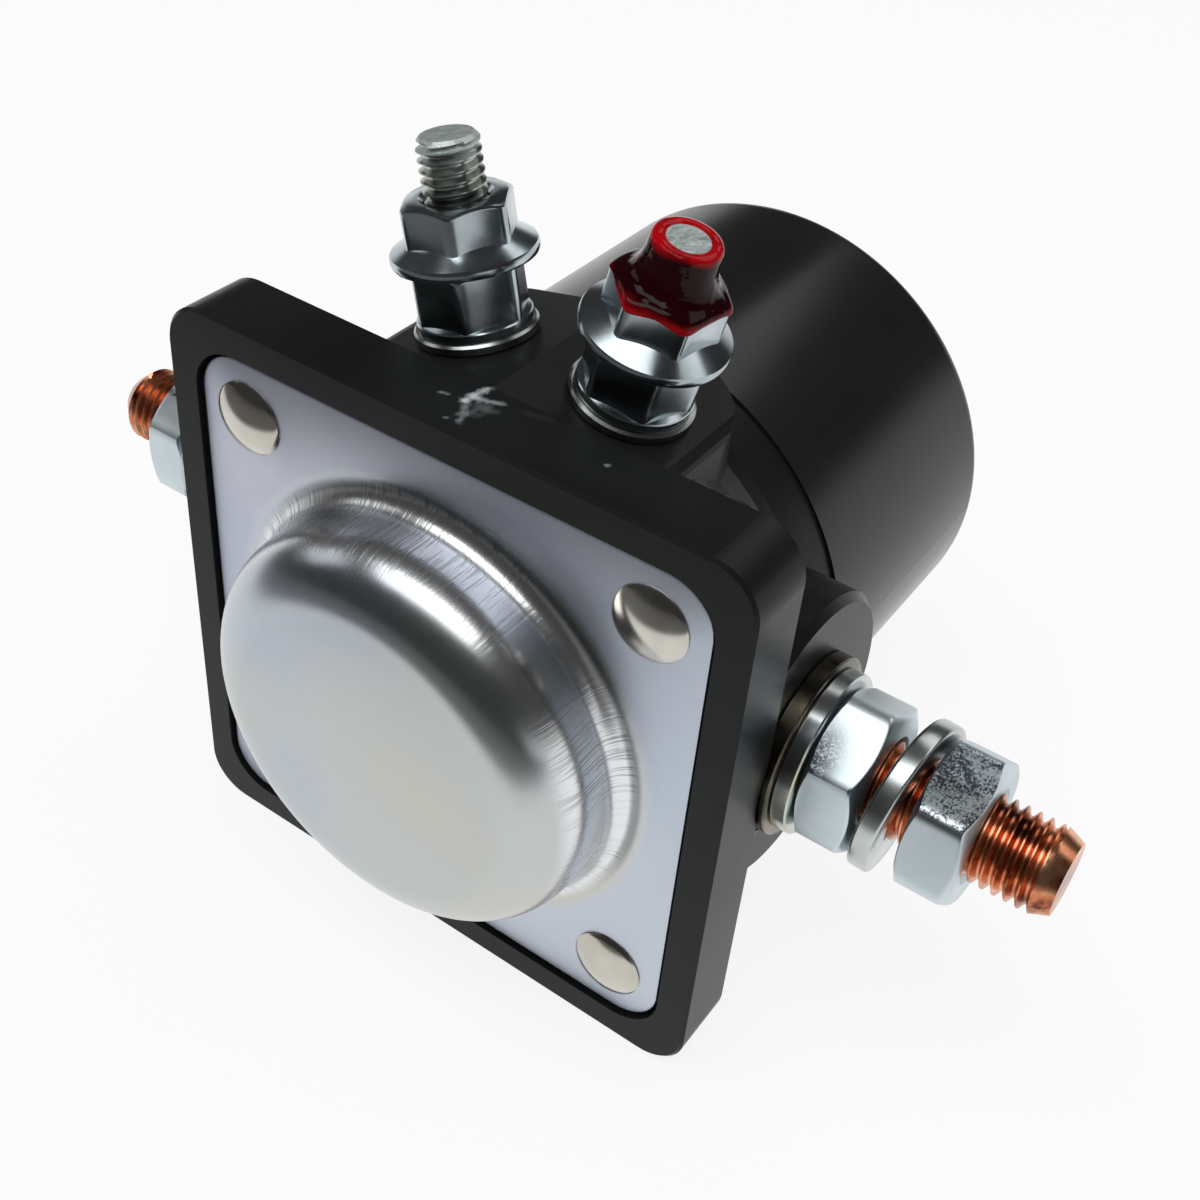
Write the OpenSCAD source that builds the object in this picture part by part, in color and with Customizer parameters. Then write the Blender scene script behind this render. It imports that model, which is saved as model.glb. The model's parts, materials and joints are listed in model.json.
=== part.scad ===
// Starter solenoid: a moulded housing that carries four terminal studs, a drawn cover in front and a
// coil can behind. Inside, a plunger pulls a copper contact disc back onto the heads of the two big
// studs. Sizes are in millimetres, and profiles are written about the can's axis, with y from the
// flange's front rim towards the can.

/* [Flange and cover] */
// Width and height of the square flange
flange_w = 60; // [50:0.5:70]
// Thickness of the flange
flange_t = 7.4; // [6:0.1:10]
// Radius of the flange's corners
flange_corner_r = 4.5; // [2:0.5:8]
// Bevel round the flange's edges
flange_edge = 0.3; // [0.2:0.1:1]
// Width and height of the cover plate
cover_w = 53; // [46:0.5:56]
// Sheet thickness of the cover
cover_t = 1.2; // [0.8:0.1:2]
// Depth of the cover's face under the flange's rim
cover_sink = 0.4; // [0:0.1:1]
// Gap round the cover in its recess
cover_gap = 0.35; // [0.1:0.05:0.8]
// Thickness of the gasket under the cover
gasket_t = 0.8; // [0.4:0.1:1.5]
// Height of the dome's top over the flange's rim
dome_proud = 9.6; // [4:0.1:14]
// Radius of the dome's wall at its shoulder
dome_r = 20; // [16:0.25:21]
// Outer radius of the dome's shoulder
dome_shoulder_r = 5.6; // [2:0.1:7]
// Outer radius of the fillet at the dome's foot
dome_fillet_r = 2.1; // [1:0.1:3]
// Rise of the crown from its edge to its centre
dome_crown = 0.3; // [0:0.1:1.5]
// Distance between the rivets along each side
rivet_pitch = 42; // [36:0.5:46]
// Radius of a rivet's shank
rivet_r = 2; // [1.5:0.1:2.5]
// Radius of a rivet's domed head
rivet_head_r = 3.55; // [3:0.05:4]
// Height of a rivet's domed head
rivet_head_h = 1.2; // [0.8:0.1:2]

/* [Housing] */
// Outer radius of the can
can_r = 25.5; // [22:0.25:28]
// Step from the can down to the housing's barrel
can_step = 0.3; // [0.05:0.05:0.5]
// Radius of the barrel's flare at the flange
flare_r = 29.6; // [26:0.1:30]
// Where the flare starts to narrow, from the flange's rim
flare_y = 11; // [9:0.5:14]
// Where the flare meets the barrel, from the flange's rim
flare_end_y = 24; // [20:0.5:26]
// Height of the deck's ridge over the can's axis
deck_ridge = 29.9; // [28:0.1:30]
// Lean of each half of the deck and of its small stud
deck_lean = 12.8; // [0:0.1:20]
// Half the width of the deck
deck_half_w = 15.7; // [12:0.1:20]
// Rear edge of the deck, from the flange's rim
deck_back = 25.3; // [22:0.1:28]
// Radius of the deck's rear corners in plan
deck_corner_r = 7; // [2:0.5:10]
// Radius along the deck's upper side edges
deck_edge_r = 1.8; // [0.5:0.1:3]
// Radius of the bosses for the big studs
boss_r = 14; // [11:0.1:15]
// Distance from the axis to the end of a boss
boss_end = 29; // [27:0.1:30]
// Radius of the contact chamber
chamber_r = 18; // [16:0.25:20]
// Back of the contact chamber, from the flange's rim
chamber_back = 20.8; // [18:0.1:22]
// Thickness of the wall behind the chamber
bulkhead_t = 3.2; // [2:0.1:5]

/* [Coil can] */
// Rear end of the can, from the flange's rim
can_back = 60.8; // [50:0.1:75]
// Open rim of the can, from the flange's rim
can_front = 29; // [26:0.5:32]
// Wall thickness of the can
can_t = 1.2; // [0.8:0.1:2]
// Outer radius of the can's rear edge
can_edge_r = 1.6; // [0.5:0.1:3]
// Length of the housing's spigot in the can
spigot_len = 4; // [2:0.5:8]

/* [Big studs] */
// Radius of the big studs
stud_r = 4; // [3:0.5:5]
// Distance of the studs' axis behind the flange's rim
stud_y = 15.2; // [13:0.1:18]
// Height of the studs' axis over the can's axis
stud_z = 1.9; // [0:0.1:4]
// Distance from the can's axis to the starter stud's tip
starter_tip = 54.2; // [48:0.1:60]
// Distance from the can's axis to the battery stud's tip
battery_tip = 52.5; // [48:0.1:60]
// Pitch of the big studs' thread
stud_pitch = 1.06; // [0.8:0.01:1.5]
// Length of the cone at a big stud's tip
stud_cone_len = 1.7; // [0.5:0.1:3]
// Narrowing of the radius over the starter stud's cone
starter_cone_drop = 0.7; // [0.2:0.1:1.5]
// Narrowing of the radius over the battery stud's cone
battery_cone_drop = 1.4; // [0.2:0.1:1.5]
// Inner end of a stud's contact head
head_in = 10; // [8:0.1:12]
// Outer end of a stud's contact head
head_out = 15.5; // [13:0.1:16]
// Depth of a contact head, front to back
head_depth = 10; // [8:0.5:12]
// Height of a contact head
head_h = 14; // [10:0.5:16]
// Across flats of the big nuts
nut_af = 13; // [12:0.5:15]
// Height of the big nuts
nut_h = 5.2; // [5:0.1:7]
// Inner face of the starter stud's outer nut, which is slack
starter_nut_x = 41.7; // [40:0.1:44]
// Inner face of the battery stud's outer nut, which is run down
battery_nut_x = 39.9; // [39.5:0.1:44]
// Radius of the flat washer on the boss
washer_r = 8.6; // [8:0.1:9]
// Radius of the flat washer under the inner nut
nut_washer_r = 7.7; // [7:0.1:9]
// Thickness of each flat washer
washer_t = 1.6; // [1:0.1:2]
// Radius of the spring washers
lock_r = 7.4; // [7:0.1:8]
// Thickness of the spring washers
lock_t = 1.9; // [1.5:0.1:2.5]
// Offset between the ends of a slack spring washer
lock_rise = 2; // [0:0.1:2]
// Offset between the ends of a pressed spring washer
pressed_rise = 0.5; // [0:0.1:1]
// Lean of the slack spring washer on its stud
lock_lean = 3.5; // [0:0.5:4]
// Shift of the slack spring washer towards the inner nut, which keeps its leaning edges free
lock_shift = 0.3; // [0:0.05:0.4]

/* [Small studs] */
// Radius of the small studs
small_r = 2.75; // [2:0.05:3.5]
// Pitch of the small studs' thread
small_pitch = 0.88; // [0.6:0.01:1.2]
// Distance of a small stud from the middle of the deck
small_x = 8.05; // [7:0.05:10]
// Distance of the small studs behind the flange's rim
small_y = 15.7; // [13:0.1:18]
// Height of the start stud's tip over the deck
start_tip = 17.6; // [14:0.1:20]
// Height of the ignition stud's tip over the deck
ignition_tip = 16.6; // [14:0.1:20]
// Radius of the washer on the deck
small_washer_r = 5.5; // [5:0.1:6.5]
// Thickness of the washer on the deck
small_washer_t = 1; // [0.6:0.1:1.5]
// Across flats of the small nuts
small_af = 9; // [8:0.5:10]
// Height of the lower nut
lower_nut_h = 6; // [4:0.1:7]
// Radius of the lower nut's round collar
lower_collar_r = 5.1; // [4.6:0.1:6]
// Height of the upper nut with its flange
upper_nut_h = 5.5; // [4:0.1:7]
// Radius of the upper nut's flange
upper_flange_r = 6.45; // [5.5:0.05:7.5]
// Distance of the seat of a small stud's inner head under the deck
small_seat = 12.3; // [11:0.1:13]
// Radius of a small stud's inner head
small_head_r = 4.2; // [3.5:0.1:4.5]
// Height of a small stud's inner head
small_head_h = 2.3; // [1.5:0.1:3]
// Thickness of the tags under the inner heads
tag_t = 0.7; // [0.5:0.1:1]
// Thickness of the sealing lacquer
lacquer_t = 0.25; // [0.1:0.05:0.5]

/* [Moving pieces] */
// Travel until the disc closes on the stud heads
travel = 3; // [2:0.1:4]
// Travel left in the plunger when the disc has closed
overtravel = 0.8; // [0.4:0.1:1.5]
// Distance kept between faces that close on each other
face_gap = 0.05; // [0.02:0.01:0.1]
// Radial clearance of the sliding pieces
slide_gap = 0.08; // [0.02:0.01:0.1]
// Radius of the plunger
plunger_r = 6; // [5:0.1:8]
// Length of the plunger
plunger_len = 20; // [16:0.5:24]
// Radius of the contact disc
disc_r = 15; // [13:0.1:15.3]
// Thickness of the contact disc
disc_t = 2; // [1:0.1:3]
// Radius of the rod through the disc
rod_r = 2; // [1.5:0.1:2.5]
// Radius of the rod behind its collar
rod_back_r = 2.5; // [2:0.1:3]
// Radius of the rod's collar
collar_r = 5; // [4:0.1:6]
// Thickness of the rod's collar
collar_t = 1; // [0.6:0.1:1.5]
// Front end of the rod, ahead of the flange's rim
rod_front = 5.4; // [4:0.1:6]
// Radius of the insulating washers at the disc
bush_r = 5.5; // [4.5:0.1:6]
// Thickness of the insulating washers at the disc
bush_t = 1.3; // [0.8:0.1:2]
// Wire radius of the return spring
return_wire_r = 0.45; // [0.3:0.05:0.6]
// Mean radius of the return spring
return_r = 4.3; // [4:0.05:5]
// Wire radius of the contact spring
contact_wire_r = 0.35; // [0.2:0.05:0.5]
// Mean radius of the contact spring
contact_r = 3; // [2.6:0.05:3.5]

/* [Coil] */
// Thickness of the steel pole plate
pole_t = 2; // [1:0.1:3]
// Depth of the winding's outer turns under the bobbin's rim
winding_sink = 2.4; // [1:0.1:6]
// Diameter of the winding's wire
winding_wire = 1.07; // [0.5:0.01:1.5]
// Wall thickness of the bobbin's tube and flanges
bobbin_t = 1.2; // [0.8:0.1:2]
// Wire radius of the leads
lead_r = 0.6; // [0.4:0.05:0.8]
// Width of the ignition contact's strip
strip_w = 6; // [4:0.5:8]
// Depth of its tongue under the ignition stud's seat
strip_drop = 5.5; // [4:0.1:7]

/* [Hidden] */
$fn = 96;

// The row's frame: the middle of the box in x and y, and the flange's lower edge at z = 0
can_x = (battery_tip - starter_tip) / 2;
face_y = (dome_proud - can_back) / 2;
axis_z = flange_w / 2;
// Fixed clearances: pieces that are clamped or pressed, and screws in their holes
snug = 0.05;
loose = 0.15;
// Where a free thread starts, past the last nut's face
free_from = 0.3;
// Share of its pitch by which a thread's pitch radius lies under its full radius
flank_share = 0.325;
// Along the axis, from the cover to the can's end
cover_back = cover_sink + cover_t;
recess_y = cover_back + gasket_t;
bulkhead_back = chamber_back + bulkhead_t;
spigot_end = can_front + spigot_len;
spigot_r = can_r - can_t - snug;
skirt_in_r = spigot_r - 1.95;
tunnel_r = plunger_r + 0.6;
pole_back = spigot_end + pole_t;
can_floor = can_back - can_t;
bobbin_r = can_r - can_t - 0.4;
winding_r = bobbin_r - winding_sink;
tube_r = plunger_r + slide_gap + bobbin_t;
// The moving pieces at rest
head_front = stud_y - head_depth / 2;
disc_back = head_front - travel - face_gap;
disc_front = disc_back - disc_t;
collar_y = disc_back + bush_t;
plunger_front = bulkhead_back + 0.1;
plunger_back = plunger_front + plunger_len;
core_front = plunger_back + travel + overtravel;
bush_sleeve_r = rod_r + slide_gap + 1.1;
clip_y = -rod_front + 0.9;
clip_t = 0.7;
seat_t = 0.8;
seat_back = clip_y + clip_t + seat_t;
// Across the big studs
washer_x = [boss_end, boss_end + washer_t];
inner_nut_x = boss_end + 2 * washer_t;
// Up the small studs
deck_z = deck_ridge - small_x * tan(deck_lean);
lower_nut_at = small_washer_t;
upper_nut_at = lower_nut_at + lower_nut_h;
upper_nut_top = upper_nut_at + upper_nut_h;
// The coil's leads leave beside each other above the tunnel, and one goes on to the start stud's tag
lead_x = 6;
lead_z = winding_r - 2;
tag_at = small_seat + tag_t / 2;
lead_hole = [tag_at * sin(deck_lean) - small_x, deck_z - tag_at * cos(deck_lean)];

function arc(c, r, from, to, n) =
    [for (i = [0:n]) c + r * [cos(from + (to - from) * i / n), sin(from + (to - from) * i / n)]];

// Under the nuts a thread is drawn at its pitch radius, and elsewhere at its full radius
function pitch_r(r, pitch) = r - flank_share * pitch;
function meshed(r, pitch, from, to) =
    let (inner = pitch_r(r, pitch)) [[r, from], [inner, from], [inner, to - r + inner], [r, to]];

module place() translate([can_x, face_y, axis_z]) children();
module on_y(y = 0) translate([0, y, 0]) rotate([-90, 0, 0]) children();
module on_stud(x = 0) translate([x, stud_y, stud_z]) rotate([0, 90, 0]) children();
module on_deck(side, h = 0)
    translate([side * small_x, small_y, deck_z]) rotate([0, side * deck_lean, 0])
        translate([0, 0, h]) children();
module sheet(y0, y1) translate([0, y1, 0]) rotate([90, 0, 0]) linear_extrude(y1 - y0) children();
module turned(pts) rotate_extrude() polygon(pts);
module at_rivets() for (x = [-1, 1], z = [-1, 1]) translate([x, 0, z] * rivet_pitch / 2) children();

// A solid skinned over a list of rings with equal numbers of points
module skin(rings) {
    n = len(rings[0]);
    last = len(rings) - 1;
    polyhedron([for (ring = rings) for (p = ring) p], concat(
        [[for (i = [0:n - 1]) i]],
        [for (k = [0:last - 1]) for (i = [0:n - 1]) let (a = k * n + i, b = k * n + (i + 1) % n)
            for (f = [[a, a + n, b + n], [a, b + n, b]]) f],
        [[for (i = [n - 1:-1:0]) last * n + i]]));
}

module rounded_square(w, r) {
    square([w, w - 2 * r], center = true);
    square([w - 2 * r, w], center = true);
    for (x = [-1, 1], y = [-1, 1]) translate([x, y] * (w / 2 - r)) circle(r);
}

// Nut with both faces bevelled and its hole eased
module hex_body(af, h, low = true) {
    corner = af / 2 / cos(30);
    face = af * 0.475;
    drop = (corner - face) * tan(30);
    intersection() {
        cylinder(r = corner, h = h, $fn = 6);
        turned([[0, 0], [low ? face : corner + 1, 0], [corner + 1, low ? drop + tan(30) : 0],
            [corner + 1, h - drop - tan(30)], [face, h], [0, h]]);
    }
}
module tapped(r, h, ease) turned([[0, -1], [r + ease, -1], [r + ease, 0], [r, ease], [r, h - ease],
    [r + ease, h], [r + ease, h + 1], [0, h + 1]]);
module hex_nut(af, h, hole, ease) difference() {
    hex_body(af, h);
    tapped(hole, h, ease);
}
module washer(r, hole, t, edge = 0.15) turned([[hole, 0], [r - edge, 0], [r, edge], [r, t - edge],
    [r - edge, t], [hole, t]]);

// Split washer whose two ends stand apart along its axis
module split_washer(r, hole, t, rise, gap) skin([for (i = [0:48]) let (a = gap + (360 - 2 * gap) * i / 48)
    [for (c = [[hole, 0], [hole, t], [r, t], [r, 0]]) [c[0] * cos(a), c[0] * sin(a), c[1] + rise * i / 48]]]);

// Compression spring from z = 0 to len, with its end turns closed
module coil_spring(mean, wire, len, turns) {
    steps = 20;
    n = turns * steps;
    skin([for (i = [0:n]) let (
        a = -360 * i / steps,
        u = i / steps,
        open = (len - 4 * wire * 1.05 - 2 * wire) / (turns - 2),
        z = wire + (u < 1 ? u * wire * 2.1 : u > turns - 1 ? len - 2 * wire - (turns - u) * wire * 2.1
            : wire * 2.1 + (u - 1) * open))
        [for (b = [0:60:300]) [(mean + wire * cos(b)) * cos(a), (mean + wire * cos(b)) * sin(a),
            z + wire * sin(b)]]]);
}

// Wire of radius r along a route of points
module wire(route, r) {
    n = len(route);
    skin([for (i = [0:n - 1]) let (
        d = route[min(i + 1, n - 1)] - route[max(i - 1, 0)],
        along = d / norm(d),
        side = cross(along, [1, 0, 0]) / norm(cross(along, [1, 0, 0])),
        up = cross(along, side))
        [for (a = [0:45:315]) route[i] + r * (cos(a) * side + sin(a) * up)]]);
}

// The moulded housing

module flange_body() {
    half = flange_w / 2;
    e = flange_edge;
    side = [[half - e, 0], [half, e], [half, flange_t - e], [half - e, flange_t]];
    for (turn = [0, 90]) rotate([0, turn, 0]) translate([0, 0, flange_corner_r - half])
        linear_extrude(flange_w - 2 * flange_corner_r)
            polygon(concat(side, [for (i = [3:-1:0]) [-side[i][0], side[i][1]]]));
    for (x = [-1, 1], z = [-1, 1]) translate([x, 0, z] * (half - flange_corner_r)) on_y()
        turned([[0, 0], [flange_corner_r - e, 0], [flange_corner_r, e], [flange_corner_r, flange_t - e],
            [flange_corner_r - e, flange_t], [0, flange_t]]);
}

// The barrel and its flare, kept under the roof of the deck
module barrel_body() difference() {
    end_r = can_r - can_step;
    on_y() turned(concat(
        [[0, flange_t - 1], [flare_r, flange_t - 1]],
        [for (i = [0:8]) [end_r + (flare_r - end_r) * (1 + cos(180 * i / 8)) / 2,
            flare_y + (flare_end_y - flare_y) * i / 8]],
        [[end_r, can_front], [spigot_r, can_front], [spigot_r, spigot_end - 0.5],
            [spigot_r - 0.5, spigot_end], [0, spigot_end]]));
    eave = deck_ridge - deck_half_w * tan(deck_lean);
    sheet(flange_t, deck_back) polygon([[0, deck_ridge], [deck_half_w, eave], [deck_half_w, deck_ridge + 1],
        [-deck_half_w, deck_ridge + 1], [-deck_half_w, eave]]);
}

// Roof-shaped deck: each half is square to its small stud
module deck_body() {
    cx = deck_half_w - deck_edge_r;
    cz = deck_ridge - deck_edge_r / cos(deck_lean) - cx * tan(deck_lean);
    edge = arc([cx, cz], deck_edge_r, 0, 90 - deck_lean, 5);
    flat = deck_half_w - deck_corner_r;
    intersection() {
        sheet(flange_t - 1, deck_back + 1) polygon(concat([[-deck_half_w, 0], [deck_half_w, 0]], edge,
            [[0, deck_ridge]], [for (i = [5:-1:0]) [-edge[i][0], edge[i][1]]]));
        linear_extrude(deck_ridge + 1) union() {
            translate([-deck_half_w, 0]) square([2 * deck_half_w, deck_back - deck_corner_r]);
            translate([-flat, 0]) square([2 * flat, deck_back]);
            for (x = [-flat, flat]) translate([x, deck_back - deck_corner_r]) circle(deck_corner_r);
        }
    }
}

module boss_body() on_stud() turned([[0, 0], [boss_r, 0], [boss_r, boss_end - 0.7], [boss_r - 0.7, boss_end],
    [0, boss_end]]);

module chamber() {
    on_y(recess_y - 1) cylinder(r = chamber_r, h = head_front - recess_y - 0.2);
    intersection() {
        on_y(recess_y - 1) cylinder(r = chamber_r, h = chamber_back - recess_y + 1);
        translate([-head_out - snug, 0, -chamber_r]) cube([2 * (head_out + snug), can_front, 2 * chamber_r]);
    }
}

module housing() color("#1c1c1d") place() difference() {
    union() {
        difference() {
            union() {
                flange_body();
                barrel_body();
                deck_body();
                boss_body();
                mirror([1, 0, 0]) boss_body();
            }
            sheet(-1, recess_y) rounded_square(cover_w + 2 * cover_gap, flange_corner_r + cover_gap);
            chamber();
            for (side = [-1, 1]) on_deck(side, -small_seat - 8)
                translate([-small_head_r - 0.4, disc_back + 1.5 - small_y, 0])
                    cube([2 * small_head_r + 0.8, chamber_back - disc_back - 1.5, 8]);
            on_y(bulkhead_back) difference() {
                cylinder(r = skirt_in_r, h = spigot_end);
                translate([0, 0, -1]) cylinder(r = tunnel_r + 2.2, h = spigot_end + 2);
            }
        }
        on_y(chamber_back - 1.5) cylinder(r = return_r - return_wire_r - 0.25, h = 2);
    }
    on_y(chamber_back - 2) cylinder(r = rod_back_r + slide_gap, h = bulkhead_t + 3);
    on_y(bulkhead_back) cylinder(r = tunnel_r, h = spigot_end);
    on_stud(-boss_end - 1) cylinder(r = stud_r + loose, h = 2 * boss_end + 2);
    // The washers' seats also relieve the flange's rear edge
    for (x = [-boss_end - 2, boss_end]) on_stud(x) cylinder(r = washer_r + 0.3, h = 2);
    for (side = [-1, 1]) on_deck(side, -small_seat - 1) cylinder(r = small_r + loose, h = small_seat + 4);
    at_rivets() {
        on_y(-1) cylinder(r = rivet_r + snug, h = flange_t + 2);
        on_y(flange_t) cylinder(r = rivet_head_r + 0.5, h = can_front);
    }
    translate([lead_hole[0], chamber_back - 1, lead_hole[1]]) on_y()
        cylinder(r = 2 * lead_r, h = bulkhead_t + 2);
}

// Cover, can and the pieces that close them

module cover_plate() color("#b9bdc6") place() difference() {
    foot = [dome_r + dome_fillet_r, cover_sink - dome_fillet_r];
    crown_r = dome_r - dome_shoulder_r;
    shoulder = [crown_r, dome_crown - dome_proud + dome_shoulder_r];
    crown = [for (i = [1:4]) [crown_r * (1 - i / 4), -dome_proud + dome_crown * pow(1 - i / 4, 2)]];
    union() {
        difference() {
            sheet(cover_sink, cover_back) rounded_square(cover_w, flange_corner_r);
            on_y(cover_sink - 1) cylinder(r = foot[0], h = cover_t + 2);
        }
        on_y() turned(concat(
            arc(foot, dome_fillet_r, 90, 180, 6), arc(shoulder, dome_shoulder_r, 0, -90, 8), crown,
            [for (i = [3:-1:0]) crown[i] + [0, cover_t]], arc(shoulder, dome_shoulder_r - cover_t, -90, 0, 6),
            arc(foot, dome_fillet_r + cover_t, 180, 90, 6)));
    }
    at_rivets() on_y(cover_sink - 1) cylinder(r = rivet_r + snug, h = cover_t + 2);
}

module cover_gasket() color("#3b3a36") place() difference() {
    sheet(cover_back, recess_y) rounded_square(cover_w, flange_corner_r);
    on_y(cover_back - 1) cylinder(r = dome_r + 1, h = gasket_t + 2);
    at_rivets() on_y(cover_back - 1) cylinder(r = rivet_r + snug, h = gasket_t + 2);
}

module cover_rivets() color("#a9a6a1") place() at_rivets() on_y() {
    ball = (pow(rivet_head_r, 2) + pow(rivet_head_h - 0.2, 2)) / 2 / (rivet_head_h - 0.2);
    half = asin(rivet_head_r / ball);
    top = cover_sink - rivet_head_h;
    turned(concat(
        [for (i = [0:6]) [ball * sin(half * i / 6), top + ball * (1 - cos(half * i / 6))]],
        [[rivet_head_r, cover_sink], [rivet_r, cover_sink], [rivet_r, flange_t],
            [rivet_head_r - 0.4, flange_t], [rivet_head_r - 0.4, flange_t + 0.5],
            [rivet_head_r - 0.9, flange_t + 0.9], [1.6, flange_t + 0.9], [1.2, flange_t + 0.4],
            [1.2, flange_t - 2], [0, flange_t - 2]]));
}

module coil_can() color("#161617") place() on_y() turned(concat(
    [[0, can_back]], arc([can_r - can_edge_r, can_back - can_edge_r], can_edge_r, 90, 0, 6),
    [[can_r, can_front], [can_r - can_t, can_front], [can_r - can_t, can_floor - 0.4],
        [can_r - can_t - 0.4, can_floor], [0, can_floor]]));

// Big studs and what they carry, drawn for the right side

module big_stud(tip, nut_x, drop) {
    translate([head_in, head_front, stud_z - head_h / 2]) cube([head_out - head_in, head_depth, head_h]);
    on_stud() turned(concat([[0, head_out - 1], [stud_r, head_out - 1]],
        meshed(stud_r, stud_pitch, inner_nut_x, nut_x + nut_h + free_from),
        [[stud_r, tip - stud_cone_len], [stud_r - drop, tip], [0, tip]]));
}
module boss_washer() on_stud(washer_x[0]) washer(washer_r, stud_r + loose, washer_t);
module nut_washer() on_stud(washer_x[1]) washer(nut_washer_r, stud_r + loose, washer_t);
module big_nut(x, turn) on_stud(x) rotate([0, 0, turn])
    hex_nut(nut_af, nut_h, pitch_r(stud_r, stud_pitch) + snug, 0.5);
// Spring washer between the nuts. Its split is at the back, and its upper rear edge leans outwards.
module big_lock_washer(nut_x, rise, lean, shift) {
    split = 100;
    lean_at = 137;
    on_stud((inner_nut_x + nut_h + nut_x) / 2 - shift) rotate([0, 0, lean_at]) rotate([0, -lean, 0])
        rotate([0, 0, split - lean_at]) translate([0, 0, (rise - lock_t) / 2])
            split_washer(lock_r, stud_r + 2 * loose, lock_t, -rise, 4);
}
module left() mirror([1, 0, 0]) children();

module battery_stud() color("#b0592f") place() left() big_stud(battery_tip, battery_nut_x, battery_cone_drop);
module starter_stud() color("#b0592f") place() big_stud(starter_tip, starter_nut_x, starter_cone_drop);
module battery_washer_inner() color("#6f6a5c") place() left() boss_washer();
module starter_washer_inner() color("#6f6a5c") place() boss_washer();
module battery_washer_outer() color("#8d8f88") place() left() nut_washer();
module starter_washer_outer() color("#8d8f88") place() nut_washer();
module battery_nut_inner() color("#cdd4d8") place() left() big_nut(inner_nut_x, 0);
module starter_nut_inner() color("#cdd4d8") place() big_nut(inner_nut_x, 0);
module battery_lock_washer() color("#b4b9b8") place() left()
    big_lock_washer(battery_nut_x, pressed_rise, 0, 0);
module starter_lock_washer() color("#b4b9b8") place()
    big_lock_washer(starter_nut_x, lock_rise, lock_lean, lock_shift);
module battery_nut_outer() color("#cdd4d8") place() left() big_nut(battery_nut_x, 3);
module starter_nut_outer() color("#cdd4d8") place() big_nut(starter_nut_x, -10.8);

// Small studs and what they carry

module small_stud(side, tip, free) on_deck(side) {
    head = -small_seat - tag_t - small_head_h;
    turned(concat([[0, head], [small_head_r - 0.4, head], [small_head_r, head + 0.4],
        [small_head_r, head + small_head_h], [small_r, head + small_head_h]],
        meshed(small_r, small_pitch, lower_nut_at, free),
        [[small_r, tip - 0.6], [small_r - 0.5, tip], [0, tip]]));
}
module small_tap(h) tapped(pitch_r(small_r, small_pitch) + snug, h, 0.3);
module small_washer(side) on_deck(side) washer(small_washer_r, small_r + loose, small_washer_t, 0.2);
module small_nut_lower(side, turn) on_deck(side, lower_nut_at) difference() {
    union() {
        rotate([0, 0, turn]) hex_body(small_af, lower_nut_h, false);
        turned([[0, 0], [lower_collar_r, 0], [lower_collar_r, 0.9], [small_af / 2 - 0.1, 1.15], [0, 1.15]]);
    }
    small_tap(lower_nut_h);
}
// The upper nut without its hole: the lacquer lies on this shape too
module upper_nut_body(turn) {
    rotate([0, 0, turn]) hex_body(small_af, upper_nut_h, false);
    turned([[0, 0], [upper_flange_r - 0.3, 0], [upper_flange_r, 0.3], [upper_flange_r, 0.8],
        [upper_flange_r - 0.35, 1.1], [small_af / 2, 2.1], [0, 2.1]]);
}
module small_nut_upper(side, turn) on_deck(side, upper_nut_at) difference() {
    upper_nut_body(turn);
    small_tap(upper_nut_h);
}
ignition_turn = 20;

module start_stud() color("#a7aba9") place()
    small_stud(-1, start_tip, upper_nut_top + free_from);
module ignition_stud() color("#a7aba9") place() small_stud(1, ignition_tip, upper_nut_top);
module start_washer() color("#9fa4a2") place() small_washer(-1);
module ignition_washer() color("#9fa4a2") place() small_washer(1);
module start_nut_lower() color("#9da3a3") place() small_nut_lower(-1, 0);
module ignition_nut_lower() color("#9da3a3") place() small_nut_lower(1, 10);
module start_nut_upper() color("#a9b2b8") place() small_nut_upper(-1, 0);
module ignition_nut_upper() color("#a9b2b8") place() small_nut_upper(1, ignition_turn);

// Lacquer brushed over the top of the ignition nut and up the stud, with the stud's end left bare
module sealing_lacquer() color("#b3101c") place() on_deck(1) difference() {
    skirt = 1.9;
    bare_r = 1.75;
    union() {
        intersection() {
            translate([0, 0, upper_nut_top - skirt]) rotate([0, 0, ignition_turn])
                hex_body(small_af + 2 * lacquer_t, skirt + lacquer_t, false);
            cylinder(r = small_af, h = upper_nut_top + lacquer_t);
        }
        turned([[0, upper_nut_top - 0.5], [small_af / 2 - 0.2, upper_nut_top - 0.5],
            [small_af / 2 - 0.2, upper_nut_top + lacquer_t], [small_r + 1, upper_nut_top + 0.9],
            [small_r + lacquer_t, upper_nut_top + 2.2], [small_r + lacquer_t, ignition_tip - 0.5],
            [small_r - 0.2, ignition_tip + 0.1], [0, ignition_tip + 0.1]]);
    }
    translate([0, 0, upper_nut_at]) upper_nut_body(ignition_turn);
    turned([[0, 0], [small_r, 0], [small_r, ignition_tip - 0.6], [small_r - 0.5, ignition_tip],
        [bare_r, ignition_tip], [bare_r, ignition_tip + 1], [0, ignition_tip + 1]]);
}

// Coil and its magnetic circuit

module lead_holes(y, depth) for (x = [-1, 1]) translate([x * lead_x, y, lead_z]) on_y()
    cylinder(r = 2 * lead_r, h = depth);

module bobbin() color("#d8d2c0") place() difference() {
    on_y() turned([[plunger_r + slide_gap, pole_back], [bobbin_r, pole_back],
        [bobbin_r, pole_back + bobbin_t], [tube_r, pole_back + bobbin_t],
        [tube_r, can_floor - bobbin_t], [bobbin_r, can_floor - bobbin_t],
        [bobbin_r, can_floor], [plunger_r + slide_gap, can_floor]]);
    lead_holes(pole_back - 1, bobbin_t + 2);
}

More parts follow.
